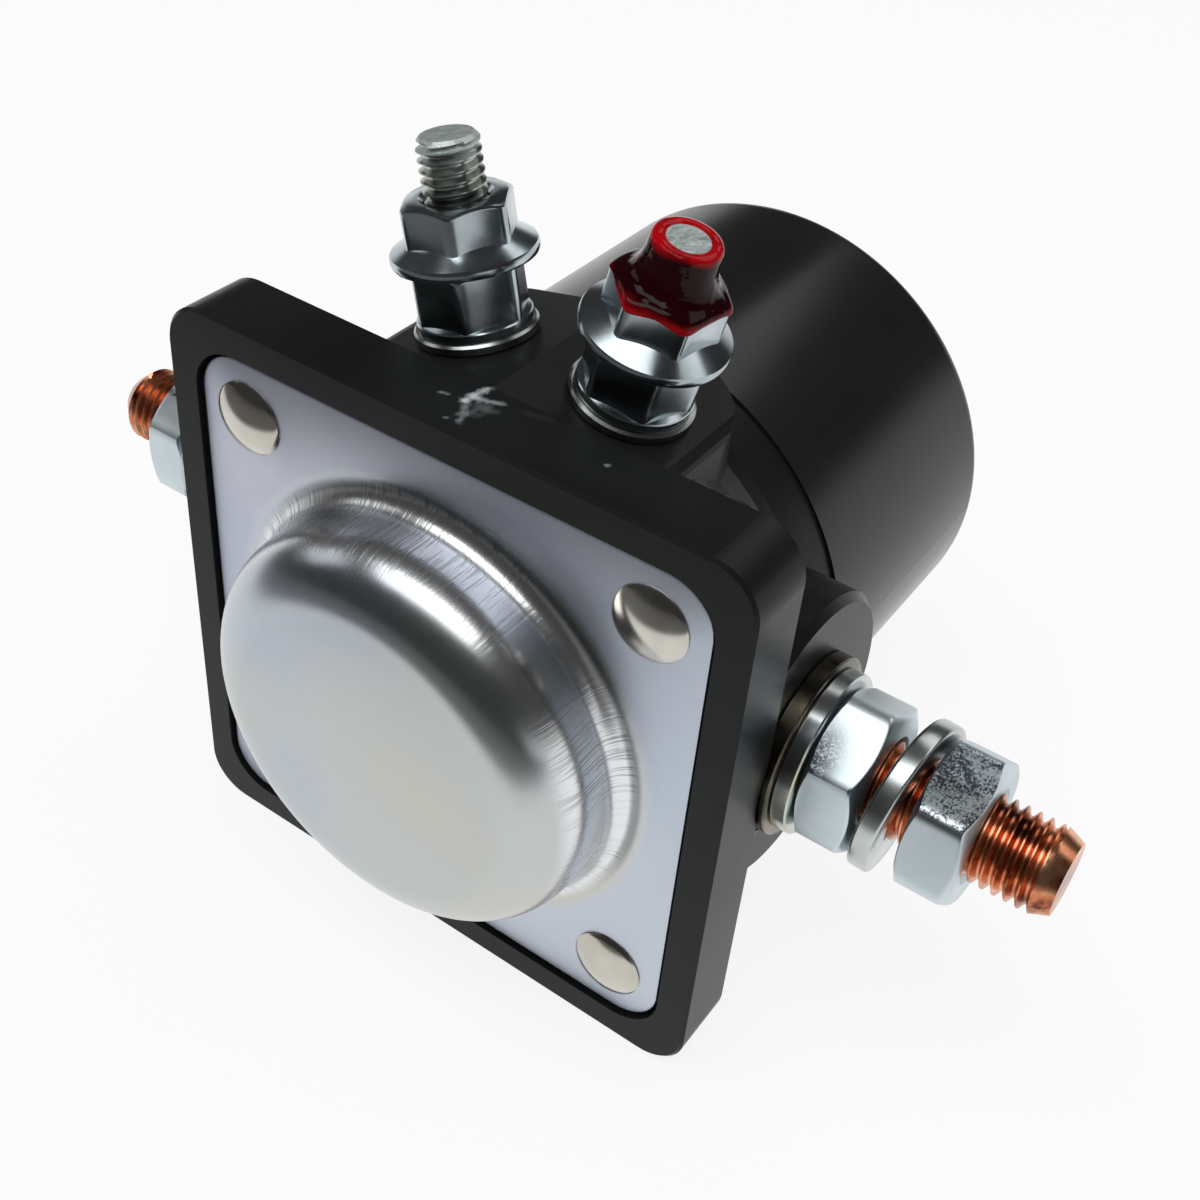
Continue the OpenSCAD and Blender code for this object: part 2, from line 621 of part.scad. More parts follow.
// The wound coil: its outer layer shows the turns
module coil_winding() color("#a4522a") place() on_y() {
    from = pole_back + bobbin_t;
    to = can_floor - bobbin_t;
    turns = floor((to - from) / winding_wire);
    turn = (to - from) / turns;
    turned(concat([[tube_r, from]],
        [for (i = [0:turns - 1]) for (k = [0:2])
            [winding_r - (k == 1 ? 0 : winding_wire / 3), from + turn * (i + [0.02, 0.5, 0.98][k])]],
        [[tube_r, to]]));
}

module pole_plate() color("#8f9193") place() difference() {
    on_y(spigot_end) turned([[tunnel_r - 0.3, 0], [can_r - can_t - snug, 0],
        [can_r - can_t - snug, pole_t], [tunnel_r - 0.3, pole_t]]);
    lead_holes(spigot_end - 1, pole_t + 2);
}

module fixed_core() color("#8b8d8f") place() on_y() turned([[0, core_front], [plunger_r - 1, core_front],
    [plunger_r - slide_gap, core_front + 0.9], [plunger_r - slide_gap, can_floor], [0, can_floor]]);

// Lead from the coil to a tag under the start stud's head
module start_lead() color("#b5673a") place() {
    on_deck(-1, -small_seat - tag_t) {
        washer(small_head_r, small_r + snug, tag_t, 0.05);
        translate([-0.9, small_head_r - 0.4, 0]) cube([1.8, 1.2, tag_t]);
    }
    wire([[-lead_x, pole_back + bobbin_t, lead_z], [-lead_x, bulkhead_back + 6.5, lead_z],
        [-lead_x, bulkhead_back + 4.5, lead_z - 0.6], [lead_hole[0], bulkhead_back + 1.8, lead_hole[1] + 0.6],
        [lead_hole[0], bulkhead_back + 0.3, lead_hole[1]],
        [lead_hole[0], small_y + small_head_r + 0.15, lead_hole[1]]], lead_r);
}

// Lead from the coil's other end to the pole plate's front face
module ground_lead() color("#b5673a") place() wire([[lead_x, pole_back + bobbin_t, lead_z],
    [lead_x, spigot_end - 1.2, lead_z], [lead_x + 0.5, spigot_end - 2, lead_z - 0.8],
    [lead_x + 1.5, spigot_end - 2, lead_z - 2.2], [lead_x + 2, spigot_end - 1, lead_z - 4],
    [lead_x + 2.2, spigot_end - lead_r - snug, lead_z - 5.5],
    [lead_x + 2.4, spigot_end - lead_r - snug, lead_z - 8]], lead_r);

// Spring strip from the ignition stud down to the plane of the stud heads
module ignition_contact() color("#c29a4a") place() on_deck(1, -small_seat) difference() {
    front = head_front - small_y;
    translate([-strip_w / 2, 0, 0]) rotate([90, 0, 90]) linear_extrude(strip_w) polygon([[front, 0],
        [small_head_r, 0], [small_head_r, -tag_t], [front + tag_t, -tag_t], [front + tag_t, -strip_drop],
        [front, -strip_drop]]);
    translate([0, 0, -tag_t - 1]) cylinder(r = small_r + snug, h = tag_t + 2);
}

// Moving pieces

module plunger() color("#9a9c9e") place() on_y(plunger_front) turned([
    [rod_back_r + 0.02, 0], [plunger_r - 0.6, 0], [plunger_r, 0.6], [plunger_r, plunger_len - 0.9],
    [plunger_r - 1, plunger_len], [0, plunger_len], [0, 6], [rod_back_r + 0.02, 6]]);

module push_rod() color("#a5a7a6") place() on_y() turned([
    [0, -rod_front], [rod_r - 0.3, -rod_front], [rod_r, -rod_front + 0.3],
    [rod_r, clip_y], [rod_r - 0.45, clip_y], [rod_r - 0.45, clip_y + clip_t], [rod_r, clip_y + clip_t],
    [rod_r, collar_y], [collar_r, collar_y],
    [collar_r, collar_y + collar_t], [rod_back_r, collar_y + collar_t], [rod_back_r, plunger_front + 6],
    [0, plunger_front + 6]]);

module rod_clip() color("#7d8184") place() on_y(clip_y) difference() {
    cylinder(r = 3.8, h = clip_t);
    translate([0, 0, -1]) {
        cylinder(r = rod_r - 0.4, h = clip_t + 2);
        translate([-rod_r + 0.5, 0, 0]) cube([2 * rod_r - 1, 5, clip_t + 2]);
    }
}

module spring_seat() color("#a7aba9") place() on_y(clip_y + clip_t)
    washer(contact_r + contact_wire_r + 0.9, rod_r + snug, seat_t, 0.1);

module contact_disc() color("#b86436") place() on_y(disc_front)
    washer(disc_r, bush_sleeve_r + snug, disc_t, 0.3);

module disc_bush() color("#6b3a22") place() on_y() turned([[rod_r + slide_gap, disc_front - bush_t],
    [bush_sleeve_r, disc_front - bush_t], [bush_sleeve_r, disc_back], [bush_r, disc_back], [bush_r, collar_y],
    [rod_r + slide_gap, collar_y]]);

module disc_washer() color("#6b3a22") place() on_y(disc_front - bush_t)
    washer(bush_r, bush_sleeve_r + snug, bush_t, 0.1);

module return_spring() color("#c3c6c8") place() on_y(collar_y + collar_t + face_gap)
    coil_spring(return_r, return_wire_r, chamber_back - collar_y - collar_t - 2 * face_gap, 6);

module contact_spring() color("#c3c6c8") place() on_y(seat_back + face_gap)
    coil_spring(contact_r, contact_wire_r, disc_front - bush_t - seat_back - 2 * face_gap, 5);

housing();
coil_can();
cover_plate();
cover_gasket();
cover_rivets();
battery_stud();
starter_stud();
battery_washer_inner();
battery_washer_outer();
battery_nut_inner();
battery_lock_washer();
battery_nut_outer();
starter_washer_inner();
starter_washer_outer();
starter_nut_inner();
starter_lock_washer();
starter_nut_outer();
start_stud();
ignition_stud();
start_washer();
ignition_washer();
start_nut_lower();
ignition_nut_lower();
start_nut_upper();
ignition_nut_upper();
sealing_lacquer();
bobbin();
coil_winding();
pole_plate();
fixed_core();
ignition_contact();
start_lead();
ground_lead();
plunger();
push_rod();
spring_seat();
rod_clip();
contact_disc();
disc_bush();
disc_washer();
return_spring();
contact_spring();
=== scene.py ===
"""The looks of the starter solenoid, its camera, floor and light."""

import json
import math

import bmesh
import bpy
from mathutils import Matrix, Vector


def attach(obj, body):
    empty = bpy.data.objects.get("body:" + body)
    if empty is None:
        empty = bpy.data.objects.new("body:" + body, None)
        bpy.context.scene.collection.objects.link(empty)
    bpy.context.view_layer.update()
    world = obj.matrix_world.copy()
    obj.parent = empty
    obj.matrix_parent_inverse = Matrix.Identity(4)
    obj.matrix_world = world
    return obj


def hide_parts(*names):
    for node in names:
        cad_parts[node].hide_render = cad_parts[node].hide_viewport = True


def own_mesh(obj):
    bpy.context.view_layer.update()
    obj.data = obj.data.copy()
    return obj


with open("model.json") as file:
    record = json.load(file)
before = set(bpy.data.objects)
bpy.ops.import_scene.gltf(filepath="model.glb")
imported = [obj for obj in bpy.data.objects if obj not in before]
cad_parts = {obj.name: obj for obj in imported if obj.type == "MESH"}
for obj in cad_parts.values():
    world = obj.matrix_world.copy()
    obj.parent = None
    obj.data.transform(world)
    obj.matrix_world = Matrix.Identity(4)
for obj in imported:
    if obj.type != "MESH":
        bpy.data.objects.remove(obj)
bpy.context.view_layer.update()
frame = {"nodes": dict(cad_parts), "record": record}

# Places and sizes in millimetres, repeated from the solids. Profiles are written about an axis and
# put in place with one of the matrices below, which also turn millimetres into metres.
# Materials read metres.

# Where the can's axis meets the flange's face, from which all other places are counted
CAN_X, FACE_Y, AXIS_Z = -0.85, -25.6, 30.0

# The big studs' axis, their thread, and the nuts on them
STUD_Y, STUD_Z = 15.2, 1.9
STUD_R, STUD_PITCH = 4.0, 1.06
BIG_FLATS, BIG_NUT_H, BIG_HOLE = 13.0, 5.2, 4.05
INNER_NUT = 32.2
# The starter side's outer nut against the inner one, in degrees
OUTER_TURN = -10.8

# The small studs on the sloping deck, their thread, and the nuts on them
SMALL_X, SMALL_Y, DECK_LEAN = 8.05, 15.7, math.radians(12.8)
DECK_Z = 29.9 - SMALL_X * math.tan(DECK_LEAN)
SMALL_R, SMALL_PITCH = 2.75, 0.88
SMALL_FLATS, SMALL_HOLE = 9.0, 2.8
LOWER_NUT, LOWER_NUT_H = 1.0, 6.0
UPPER_NUT, UPPER_NUT_H = 7.0, 5.5
UPPER_TOP = UPPER_NUT + UPPER_NUT_H
# The ignition stud's nuts against the start stud's, in degrees
LOWER_TURN, UPPER_TURN = 10.0, 20.0
LACQUER_TIP = 16.6

# The drawn cover: the flat crown's radius, the shoulder's radius, the foot's own radius and centre
CROWN_R, SHOULDER_R, FOOT_BEND = 14.4, 5.6, 2.1
FOOT_R = CROWN_R + SHOULDER_R + FOOT_BEND
COVER_T = 1.2

# The grid of the rivets
RIVET_AT = 21.0

# Vertices nearer than MERGE are one, and a ring as small as POLE closes a pole
MERGE, POLE = 0.0005, 0.0001


def seated(origin, out, side):
    """The matrix that puts a profile's z axis along out, its x axis along side, at origin."""
    z, x = Vector(out).normalized(), Vector(side).normalized()
    y = z.cross(x)
    rows = Matrix((x, y, z)).transposed().to_4x4()
    place = Matrix.Translation(Vector(origin) + Vector((CAN_X, FACE_Y, AXIS_Z)))
    return Matrix.Scale(0.001, 4) @ place @ rows


def on_stud(side):
    """A big stud's place: z outwards along it, side is 1 for the starter side and -1 for the other."""
    return seated((0, STUD_Y, STUD_Z), (side, 0, 0), (0, 0, -1))


def on_deck(side):
    """A small stud's place on the deck: z up along it, side is 1 for ignition and -1 for start."""
    lean = Vector((side * math.sin(DECK_LEAN), 0, math.cos(DECK_LEAN)))
    return seated((side * SMALL_X, SMALL_Y, DECK_Z), lean, (lean.z, 0, -lean.x))


ON_AXIS = seated((0, 0, 0), (0, 1, 0), (1, 0, 0))


def rgb(red, green, blue):
    """A colour written as it looks on a screen, from 0 to 255."""
    return tuple(
        c / 12.92 if c <= 0.04045 else ((c + 0.055) / 1.055) ** 2.4
        for c in (red / 255, green / 255, blue / 255)
    ) + (1.0,)


# Materials


class Value:
    """A shader socket that takes part in arithmetic."""

    def __init__(self, finish, socket):
        self.finish, self.socket = finish, socket

    def math(self, operation, *others, clamp=False):
        return self.finish.put(
            "Math", {"operation": operation, "use_clamp": clamp}, (self, *others)
        )

    def __add__(self, other):
        return self.math("ADD", other)

    def __sub__(self, other):
        return self.math("SUBTRACT", other)

    def __rsub__(self, other):
        return self.finish.put("Math", {"operation": "SUBTRACT"}, (other, self))

    def __mul__(self, other):
        return self.math("MULTIPLY", other)

    def __truediv__(self, other):
        return self.math("DIVIDE", other)

    def __pow__(self, other):
        return self.math("POWER", other)

    __radd__, __rmul__ = __add__, __mul__

    def clip(self):
        return self.math("ADD", 0.0, clamp=True)

    def step(self, low, high):
        """0 below low and 1 above high, with a smooth rise between them."""
        return self.finish.put(
            "MapRange",
            {"interpolation_type": "SMOOTHSTEP"},
            {"Value": self, "From Min": low, "From Max": high, "To Min": 0.0, "To Max": 1.0},
        )

    def part(self, name):
        return self.finish.put("SeparateXYZ", {}, (self,), name)


class Finish:
    """A material and the nodes that make it."""

    def __init__(self, name, data=None):
        self.data = data or bpy.data.materials.new(name)
        self.data.use_nodes = True
        self.tree = self.data.node_tree
        self.tree.nodes.clear()

    def put(self, kind, settings, inputs, out=0):
        """Adds a node with its settings and the values or links of its sockets."""
        node = self.tree.nodes.new("ShaderNode" + kind)
        for name, setting in settings.items():
            if name == "stops":
                stops = node.color_ramp.elements
                for _ in setting[2:]:
                    stops.new(1.0)
                for stop, (at, colour) in zip(stops, setting):
                    stop.position, stop.color = at, colour
            else:
                setattr(node, name, setting)
        for key, value in inputs.items() if isinstance(inputs, dict) else enumerate(inputs):
            if isinstance(value, Value):
                self.tree.links.new(value.socket, node.inputs[key])
            else:
                node.inputs[key].default_value = value
        return Value(self, node.outputs[out])

    def point(self):
        return self.put("TexCoord", {}, {}, "Object")

    def noise(self, scale, detail, point=None, rough=0.5):
        sockets = {
            "Vector": point or self.point(), "Scale": scale, "Detail": detail, "Roughness": rough
        }
        return self.put("TexNoise", {}, sockets)

    def mix(self, amount, a, b):
        return self.put("Mix", {"data_type": "RGBA"}, {0: amount, 6: a, 7: b}, 2)

    def bump(self, height, distance, strength, over=None):
        sockets = {"Strength": strength, "Distance": distance, "Height": height}
        if over:
            sockets["Normal"] = over
        return self.put("Bump", {}, sockets)

    def surface(self, **sockets):
        names = {
            "colour": "Base Color", "metal": "Metallic", "rough": "Roughness", "normal": "Normal",
            "specular": "Specular IOR Level",
        }
        self.close(self.put("BsdfPrincipled", {}, {names[k]: v for k, v in sockets.items()}), "Material")
        return self.data

    def close(self, shader, end):
        node = self.tree.nodes.new("ShaderNodeOutput" + end)
        self.tree.links.new(shader.socket, node.inputs["Surface"])

    def seen_directly(self):
        """1 for what the camera, a mirror or clear stuff shows, and 0 for the light that falls on things."""
        kinds = ("Is Camera Ray", "Is Glossy Ray", "Is Transmission Ray")
        first, *others = (self.put("LightPath", {}, {}, kind) for kind in kinds)
        return sum(others, first).clip()


def plated(name, light, dark, rough, wave=120.0):
    """Plated or bare metal: cloudy in colour and gloss, and softly wavy."""
    f = Finish(name)
    cloud = f.noise(wave, 3.0)
    fine = f.noise(900.0, 2.0)
    return f.surface(
        colour=f.mix(cloud.step(0.35, 0.7), dark, light), metal=1.0,
        rough=(cloud * 0.14 + fine * 0.08 + rough - 0.1).clip(), normal=f.bump(cloud, 0.00001, 0.5),
    )


# The flat of the big nuts that faces up and forwards, in degrees round the studs' axis
BRIGHT_FLAT = -150.0


def nut_zinc():
    """Zinc on the big nuts: matte, with the flat that faces up and forwards brighter. That flat is
    speckled dark, all over on an outer nut and at one corner on an inner one."""
    f = Finish("nut_zinc")
    point = f.point()
    out = (point.part("X") - CAN_X / 1000).math("ABSOLUTE")
    back, up = point.part("Y") - (FACE_Y + STUD_Y) / 1000, point.part("Z") - (AXIS_Z + STUD_Z) / 1000

    def flat(angle):
        """1 on the flat that looks along angle, and 0 on the others."""
        way, face = math.radians(angle), BIG_FLATS / 2000
        return (back * math.sin(way) - up * math.cos(way)).step(face - 0.00018, face - 0.0001)

    # The outer nuts begin about 40 mm from the can's axis, where the inner ones have ended
    outer = out.step(0.0395, 0.0405)
    corner = (1 - out.step(0.0328, 0.0356)) * (1 - up.step(0.0045, 0.0065)) * (1 - outer)
    cloud, grains, patches = f.noise(160.0, 3.0), f.noise(4600.0, 3.0, rough=0.65), f.noise(520.0, 1.0)
    speckle = (grains + patches * 0.55).step(0.66, 0.84)
    bright = flat(BRIGHT_FLAT)
    spread = bright * corner + flat(BRIGHT_FLAT + OUTER_TURN) * outer
    zinc = f.mix(cloud.step(0.35, 0.7), rgb(198, 210, 216), rgb(216, 226, 230))
    return f.surface(
        colour=f.mix(speckle * spread * 0.9, zinc, rgb(42, 46, 60)), metal=1.0,
        rough=(0.34 - bright * 0.1 + cloud * 0.1).clip(),
        normal=f.bump(grains, 0.00001, 0.5, f.bump(cloud, 0.00002, 0.4)),
    )


def small_steel():
    """Steel of the small studs and washers, with the studs' sheared ends rough and painted pale, partly bare
    cut steel and partly a painted highlight from above.
    """
    f = Finish("small_steel")
    point = f.point()
    out, up = (point.part("X") - CAN_X / 1000).math("ABSOLUTE"), point.part("Z") - AXIS_Z / 1000
    sine, cosine = math.sin(DECK_LEAN), math.cos(DECK_LEAN)
    height = out * sine + up * cosine - (SMALL_X * sine + DECK_Z * cosine) / 1000
    # Only the studs' ends reach so far above the deck
    end = height.step(0.0162, 0.0165)
    cloud, fine = f.noise(300.0, 3.0), f.noise(900.0, 3.0)
    steel = f.mix(cloud.step(0.35, 0.7), rgb(140, 144, 138), rgb(190, 194, 190))
    return f.surface(
        # The ends' pale colour is partly bare cut steel and partly a painted highlight
        colour=f.mix(end, steel, rgb(214, 224, 222)), metal=1.0,
        rough=(0.16 + cloud * 0.14 + end * 0.3).clip(),
        normal=f.bump(fine * end, 0.0003, 0.8, f.bump(cloud, 0.00001, 0.5)),
    )


# Painted glints on top of the flange: white flecks painted where its gloss catches the light, most of them
# between the small studs. The two ends of each, as x and y, its width, and how strong it is
PAINTED_GLINTS = (
    ((0.2, -23.8), (-1.2, -21.0), 0.5, 0.34), ((-1.3, -21.4), (-0.9, -18.8), 0.5, 0.95),
    ((-0.7, -20.6), (1.2, -19.9), 0.45, 0.5), ((0.2, -22.0), (0.8, -21.0), 1.0, 0.16),
    ((-3.4, -21.7), (-2.8, -21.6), 0.28, 0.34), ((-1.0, -24.3), (-0.8, -24.2), 0.24, 0.3),
    ((3.4, -19.5), (5.6, -19.2), 0.5, 0.025), ((12.4, -21.2), (12.6, -21.0), 0.26, 0.4),
)


def moulding():
    """Black phenolic moulding: satin, with a faint grain, a slight unevenness and white flecks painted on top
    as glints.
    """
    f = Finish("moulding")
    cloud = f.noise(60.0, 3.0)
    grain = f.noise(1400.0, 2.0)
    point = f.point()
    x, y = point.part("X") * 1000.0, point.part("Y") * 1000.0
    ragged = f.noise(1300.0, 3.0, rough=0.6)
    # Painted highlight: white glint flecks on the flange's top, built from the table above
    painted_glint = 0.0
    for (x0, y0), (x1, y1), width, amount in PAINTED_GLINTS:
        dx, dy = x1 - x0, y1 - y0
        along = (((x - x0) * dx + (y - y0) * dy) / (dx * dx + dy * dy)).clip()
        away = (x - x0 - along * dx) ** 2.0 + (y - y0 - along * dy) ** 2.0
        edge = away ** 0.5 / width + ragged * 2.6
        painted_glint = (1 - edge.step(0.9, 2.5)) * amount + painted_glint
    # The flange's top is 60 mm above the floor
    on_top = point.part("Z").step(0.0592, 0.0598)
    painted_glint = painted_glint.clip() * on_top * (0.45 + f.noise(2600.0, 2.0) * 0.9)
    black = f.mix(cloud.step(0.3, 0.8), rgb(23, 24, 25), rgb(31, 32, 33))
    return f.surface(
        colour=f.mix(painted_glint, black, rgb(200, 206, 208)),
        rough=(0.22 + cloud * 0.1 + grain * 0.05).clip(), specular=0.12,
        normal=f.bump(cloud * 3.0 + grain * 0.35, 0.00005, 0.3),
    )


def can_paint():
    """Thick glossy black paint with a little orange peel."""
    f = Finish("can_paint")
    cloud = f.noise(45.0, 2.0)
    peel = f.noise(420.0, 1.0)
    return f.surface(
        colour=f.mix(cloud.step(0.3, 0.8), rgb(24, 24, 26), rgb(31, 31, 33)),
        rough=(0.16 + cloud * 0.08).clip(), specular=0.3, normal=f.bump(peel, 0.00003, 0.12),
    )


def cover_zinc():
    """Bright zinc plate on the drawn cover, with a faint tint, the draw's radial marks, a painted highlight
    on the wall and painted shade in the foot's crease.
    """
    f = Finish("cover_zinc")
    point = f.point()
    across, up = point.part("X") - CAN_X / 1000, point.part("Z") - AXIS_Z / 1000
    radius = (across * across + up * up) ** 0.5
    crown_r, wall_r, foot_r = CROWN_R / 1000, (CROWN_R + SHOULDER_R) / 1000, FOOT_R / 1000
    round_the_dome = f.put("CombineXYZ", {}, (across / radius, point.part("Y") * 2.0, up / radius))
    wall = radius.step(wall_r - 0.0012, wall_r - 0.0001) * (1 - radius.step(foot_r - 0.0009, foot_r + 0.0003))
    patches = f.noise(2.2, 2.0, round_the_dome).step(0.4, 0.6)
    marks = f.noise(90.0, 1.0, round_the_dome).step(0.5, 0.64) * wall * (0.15 + patches * 0.85)
    draw = f.noise(44.0, 2.0, round_the_dome) * wall
    # A dark line painted along the foot's crease, strongest on its upper and right side: painted shade
    high_side = (up / radius + across / radius * 0.6).step(-0.2, 0.5)
    painted_crease_shade = radius.step(foot_r - 0.001, foot_r - 0.0005) * high_side
    painted_crease_shade = painted_crease_shade * (1 - radius.step(foot_r - 0.0002, foot_r + 0.0005))
    cloud, tint, fine = f.noise(38.0, 3.0), f.noise(26.0, 2.0), f.noise(800.0, 3.0)
    flat = radius.step(foot_r + 0.0001, foot_r + 0.0015)
    crown = 1 - radius.step(crown_r - 0.0009, crown_r + 0.0021)
    warm, cool = tint.step(0.5, 0.64), 1 - tint.step(0.36, 0.47)
    dome = f.mix(warm * 0.5, rgb(196, 200, 200), rgb(204, 200, 184))
    dome = f.mix(cool * 0.5, dome, rgb(182, 192, 208))
    plate = f.mix(cloud.step(0.35, 0.7), rgb(194, 200, 216), rgb(212, 214, 226))
    plate = f.mix((across * 22.0 - up * 8.0).step(-0.2, 0.8) * 0.7, plate, rgb(194, 205, 214))
    # The wall is painted lighter than the rest of the dome: a painted highlight
    dome = f.mix(wall, dome, rgb(232, 234, 236))
    colour = f.mix(marks * 0.3 + painted_crease_shade * 0.6, f.mix(flat, dome, plate), rgb(60, 63, 66))
    rough = 0.19 + flat * 0.16 + crown * 0.1 + cloud * 0.07 + fine * 0.06 + marks * 0.08
    return f.surface(
        colour=colour, metal=1.0, rough=rough.clip(),
        normal=f.bump(cloud * 2.0 + draw * 0.6 + fine * 0.1 - marks * 0.4, 0.00006, 0.4),
    )


def thread_copper():
    """Copper plate on the threads: bright on the crests, dark and stained in places."""
    f = Finish("stud_copper")
    stain = f.noise(300.0, 4.0)
    fine = f.noise(1500.0, 2.0)
    stops = [(0.34, rgb(96, 50, 34)), (0.47, rgb(206, 128, 90)), (0.68, rgb(248, 192, 154))]
    return f.surface(
        colour=f.put("ValToRGB", {"stops": stops}, (stain * 0.8 + fine * 0.2,)), metal=1.0,
        rough=(0.16 + stain * 0.2).clip(), normal=f.bump(fine + stain, 0.00001, 0.4),
    )


def lacquer_red():
    """Deep red lacquer: bright round its rims, almost black where it has pooled between them."""
    f = Finish("lacquer_red")
    lean = (math.sin(DECK_LEAN), 0.0, math.cos(DECK_LEAN))
    root = Vector((CAN_X + SMALL_X, FACE_Y + SMALL_Y, AXIS_Z + DECK_Z)) / 1000
    height = f.put("VectorMath", {"operation": "DOT_PRODUCT"}, (f.point(), lean), "Value") - root.dot(lean)
    uneven = f.noise(260.0, 2.0) * 0.0016 - 0.0008
    at = height + uneven
    nut_top, tip = UPPER_TOP / 1000, LACQUER_TIP / 1000
    pooled = at.step(nut_top - 0.0012, nut_top - 0.0001) * (1 - at.step(tip - 0.0007, tip + 0.0002))
    return f.surface(
        colour=f.mix(pooled, rgb(162, 9, 18), rgb(30, 2, 6)), rough=0.04 + pooled * 0.04,
        specular=0.13, normal=f.bump(f.noise(950.0, 1.0), 0.00016, 0.6),
    )


def plain(name, light, dark, rough):
    """A dull material with a slight mottle, for fibre, nylon and phenolic."""
    f = Finish(name)
    mottle = f.noise(300.0, 3.0)
    return f.surface(
        colour=f.mix(mottle.step(0.3, 0.7), dark, light), rough=(rough + mottle * 0.1).clip(),
        normal=f.bump(mottle, 0.00001, 0.5),
    )


FINISHES = {
    "moulding": moulding(),
    "can_paint": can_paint(),
    "cover_zinc": cover_zinc(),
    "gasket_fibre": plain("gasket_fibre", rgb(62, 60, 55), rgb(44, 42, 38), 0.8),
    "rivet_nickel": plated("rivet_nickel", rgb(212, 209, 200), rgb(190, 186, 176), 0.16),
    "stud_copper": thread_copper(),
    "washer_tarnished": plated("washer_tarnished", rgb(132, 124, 108), rgb(66, 61, 52), 0.28, wave=260.0),
    "washer_zinc": plated("washer_zinc", rgb(212, 222, 228), rgb(178, 176, 150), 0.2, wave=90.0),
    "nut_zinc": nut_zinc(),
    "lock_zinc": plated("lock_zinc", rgb(212, 218, 218), rgb(182, 188, 186), 0.24),
    "small_steel": small_steel(),
    "small_nut_zinc": plated("small_nut_zinc", rgb(196, 206, 210), rgb(162, 172, 176), 0.16),
    "lacquer_red": lacquer_red(),
    "bobbin_nylon": plain("bobbin_nylon", rgb(218, 208, 182), rgb(204, 192, 164), 0.5),
    "winding_copper": plated("winding_copper", rgb(172, 88, 48), rgb(140, 62, 32), 0.3),
    "core_steel": plated("core_steel", rgb(150, 152, 154), rgb(124, 126, 128), 0.35),
    "contact_brass": plated("contact_brass", rgb(206, 172, 104), rgb(180, 146, 82), 0.3),
    "lead_copper": plated("lead_copper", rgb(184, 98, 54), rgb(152, 74, 40), 0.3),
    "rod_steel": plated("rod_steel", rgb(168, 170, 170), rgb(142, 144, 144), 0.3),
    "disc_copper": plated("disc_copper", rgb(214, 128, 88), rgb(184, 98, 62), 0.28),
    "bush_phenolic": plain("bush_phenolic", rgb(104, 62, 40), rgb(82, 46, 28), 0.55),
    "spring_steel": plated("spring_steel", rgb(180, 182, 184), rgb(150, 152, 154), 0.25),
}

slot_of = {s["node"]: s["material_slot"] for s in frame["record"]["subparts"]}
for name, node in frame["nodes"].items():
    node.data.materials.clear()
    node.data.materials.append(FINISHES[slot_of[name]])


# Pieces


def add(name, bm, place, node, sharp=32.0):
    """Puts a finished mesh in place of a CAD node, with that node's finish and body."""
    bmesh.ops.remove_doubles(bm, verts=bm.verts[:], dist=MERGE)
    bmesh.ops.transform(bm, matrix=place, verts=bm.verts[:])
    bmesh.ops.recalc_face_normals(bm, faces=bm.faces[:])
    mesh = bpy.data.meshes.new(name)
    bm.to_mesh(mesh)
    bm.free()
    mesh.shade_smooth()
    mesh.set_sharp_from_angle(angle=math.radians(sharp))
    mesh.materials.append(FINISHES[slot_of[node]])
    piece = bpy.data.objects.new(name, mesh)
    bpy.context.scene.collection.objects.link(piece)
    body = next(b for b, nodes in frame["record"]["behaviour"]["bodies"].items() if node in nodes)
    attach(piece, body)
    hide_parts(node)
    return piece


def loft(rings, steps, close=False):
    """A mesh of rings: each ring is a pair (radius, height), or a function of the angle giving one."""
    bm = bmesh.new()
    bmesh.ops.create_circle(bm, segments=steps, radius=1.0)
    edges, verts = bm.edges[:], bm.verts[:]
    for number, ring in enumerate(list(rings) + ([rings[0]] if close else [])):
        if number:
            made = bmesh.ops.extrude_edge_only(bm, edges=edges)["geom"]
            edges = [e for e in made if isinstance(e, bmesh.types.BMEdge)]
            verts = [v for v in made if isinstance(v, bmesh.types.BMVert)]
        for v in verts:
            angle = math.atan2(v.co.y, v.co.x)
            radius, height = ring(angle) if callable(ring) else ring
            v.co = (radius * math.cos(angle), radius * math.sin(angle), height)
    return bm


def moved(bm, height):
    """The same mesh, moved along its axis."""
    bmesh.ops.translate(bm, vec=(0, 0, height), verts=bm.verts[:])
    return bm


def cap(bm):
    """Closes every open end."""
    bmesh.ops.holes_fill(bm, edges=[e for e in bm.edges if e.is_boundary], sides=0)


def arc(cx, cy, radius, start, end, count):
    """The points of an arc, from start to end degrees."""
    angles = [math.radians(start + (end - start) * i / count) for i in range(count + 1)]
    return [(cx + radius * math.cos(a), cy + radius * math.sin(a)) for a in angles]


def hexagon(flat, turn, soft=0.14):
    """The outline of a hexagon whose corners are eased by soft, as a function of the angle."""
    eased = 6.0

    def radius(angle):
        off = abs((math.degrees(angle) - turn) % 60.0 - 30.0)
        return flat / math.cos(math.radians(off)) - soft * max(0.0, (off - 30.0 + eased) / eased) ** 2

    return radius


